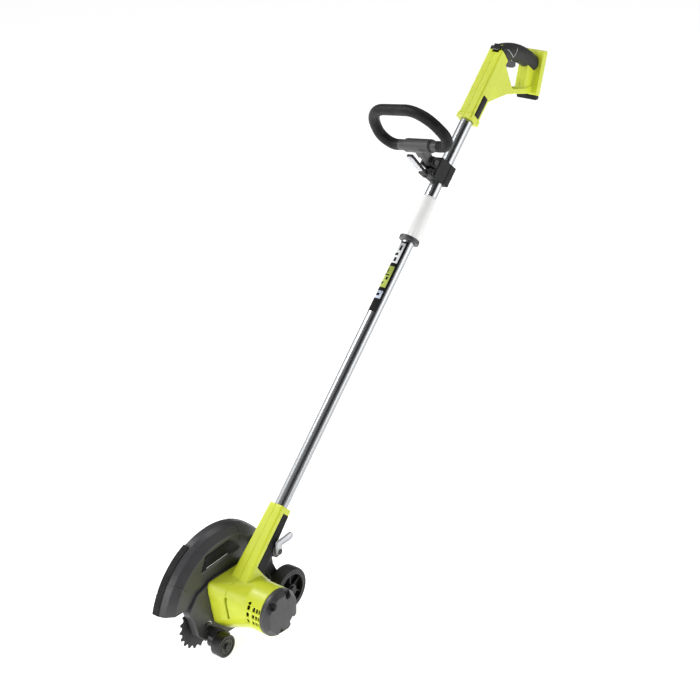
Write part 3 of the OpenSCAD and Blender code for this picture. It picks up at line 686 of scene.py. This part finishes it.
def badge():
    """A blank black badge on the left shell, at the foot of the handle."""
    place = local_frame(HEAD + SHAFT * BADGE_STATION * MM, AHEAD, SHAFT, LEFT)
    corners = [(-9.7, 0.4), (9.7, 0.4), (9.7, 50.6), (-9.7, 50.6)]
    outline = rounded_profile(corners, 2.5, turned=False)
    mesh = prism_mesh("badge", outline, 17.2, 18.5, place, 0.3)
    add_piece("handle_badge", mesh, "frame", "plate_film")


def grip_lines():
    """Two thin pale lines, inlaid in the left side of the soft grip as a V."""
    for k in range(2):
        points = []
        for s in range(13):
            place = Vector(V_CORNERS[k]).lerp(Vector(V_CORNERS[k + 1]), s / 12)
            off = (place - GRIP_ARC_AT).length - GRIP_ARC_R
            points.append(Vector((place.x, place.y, math.sqrt(GRIP_R ** 2 - off ** 2) - 0.1)))
        mesh = wire_mesh("line", points, 0.55, SIDE)
        add_piece("grip_line_%d" % (k + 1), mesh, "frame", "soft_grip", material=PRINTS["print_pale"])


badge()
grip_lines()

# ---- stage, light and camera ----

FLOOR_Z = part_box("rear_wheel_tyre")[0].z


def pale_floor():
    """A wide pale floor that the wheels stand on."""
    mesh = bpy.data.meshes.new("floor")
    size = 14
    corners = [(-size, -size), (size, -size), (size, size), (-size, size)]
    mesh.from_pydata([(x, y, FLOOR_Z) for x, y in corners], [], [(0, 1, 2, 3)])
    floor = bpy.data.objects.new("floor", mesh)
    bpy.context.scene.collection.objects.link(floor)
    g = Graph("floor_pale")
    paint = g.mixed(g.noise(3, 3), rgba((0.80, 0.80, 0.80)), rgba((0.84, 0.84, 0.84)))
    finish = g.finish(
        Base_Color=paint, Roughness=0.9, Emission_Color=rgba((1, 1, 1)), Emission_Strength=0.80)
    mesh.materials.append(finish)


pale_floor()


def softbox(name, place, target, size, power):
    """A rectangular lamp at a place, turned to its target; sizes are in metres, power in watts."""
    data = bpy.data.lights.new(name, "AREA")
    data.shape = "RECTANGLE"
    data.size, data.size_y = size
    data.energy = power
    lamp = bpy.data.objects.new(name, data)
    lamp.location = place
    lamp.rotation_mode = "QUATERNION"
    lamp.rotation_quaternion = (Vector(target) - Vector(place)).to_track_quat("-Z", "Y")
    bpy.context.scene.collection.objects.link(lamp)


MIDDLE = (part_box("rear_shell_left")[0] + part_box("guard_shell")[1]) / 2
softbox("key_right", (3.3, 0.9, 0.2), MIDDLE, (2.2, 2.6), 45)
softbox("fill_left", (-2.8, -1.6, 1.2), MIDDLE, (3.0, 3.2), 42)
softbox("top", (-0.4, 1.2, 3.0), MIDDLE, (2.4, 1.2), 27)
softbox("front", (0.1, -3.3, 0.1), MIDDLE, (2.2, 1.6), 32)
softbox("rim", (-1.5, -1.3, 1.2), head_point(-66, -161, -100), (0.6, 1.3), 20)


def studio_world():
    """An even pale surround with a dark band across it, as a black flag behind the camera gives."""
    world = bpy.data.worlds.new("studio")
    world.use_nodes = True
    bpy.context.scene.world = world
    tree = world.node_tree
    background = tree.nodes["Background"]
    coordinates = tree.nodes.new("ShaderNodeTexCoord")
    across = tree.nodes.new("ShaderNodeVectorMath")
    across.operation = "DOT_PRODUCT"
    across.inputs[1].default_value = (0.73, 0.54, -0.42)
    away = tree.nodes.new("ShaderNodeMath")
    away.operation = "ABSOLUTE"
    ramp = tree.nodes.new("ShaderNodeMapRange")
    ramp.clamp = True
    for key, value in {"From Min": 0.12, "From Max": 0.62, "To Min": 0.02, "To Max": 0.8}.items():
        ramp.inputs[key].default_value = value
    tree.links.new(coordinates.outputs["Generated"], across.inputs[0])
    tree.links.new(across.outputs["Value"], away.inputs[0])
    tree.links.new(away.outputs[0], ramp.inputs["Value"])
    tree.links.new(ramp.outputs["Result"], background.inputs["Color"])
    background.inputs["Strength"].default_value = 0.42
    # What the camera itself sees past the floor is plain white
    seen = tree.nodes.new("ShaderNodeBackground")
    seen.inputs["Color"].default_value = (1, 1, 1, 1)
    path = tree.nodes.new("ShaderNodeLightPath")
    either = tree.nodes.new("ShaderNodeMixShader")
    tree.links.new(path.outputs["Is Camera Ray"], either.inputs[0])
    tree.links.new(background.outputs[0], either.inputs[1])
    tree.links.new(seen.outputs[0], either.inputs[2])
    tree.links.new(either.outputs[0], tree.nodes["World Output"].inputs["Surface"])


studio_world()

CAMERA_AT = (1.82728, -2.88515, 0.76297)
CAMERA_AZIMUTH = math.radians(38.5)
CAMERA_ELEVATION = math.radians(23.5)


def studio_camera():
    """A long lens on the tool's left, ahead of it and above it."""
    data = bpy.data.cameras.new("camera")
    data.lens = 79.71
    data.sensor_width = 36
    data.clip_end = 60
    camera = bpy.data.objects.new("camera", data)
    a, e = CAMERA_AZIMUTH, CAMERA_ELEVATION
    back = Vector((math.sin(a) * math.cos(e), -math.cos(a) * math.cos(e), math.sin(e)))
    camera.location = CAMERA_AT
    camera.rotation_mode = "QUATERNION"
    camera.rotation_quaternion = (-back).to_track_quat("-Z", "Y")
    bpy.context.scene.collection.objects.link(camera)
    bpy.context.scene.camera = camera


studio_camera()
bpy.context.scene.view_settings.view_transform = "Standard"
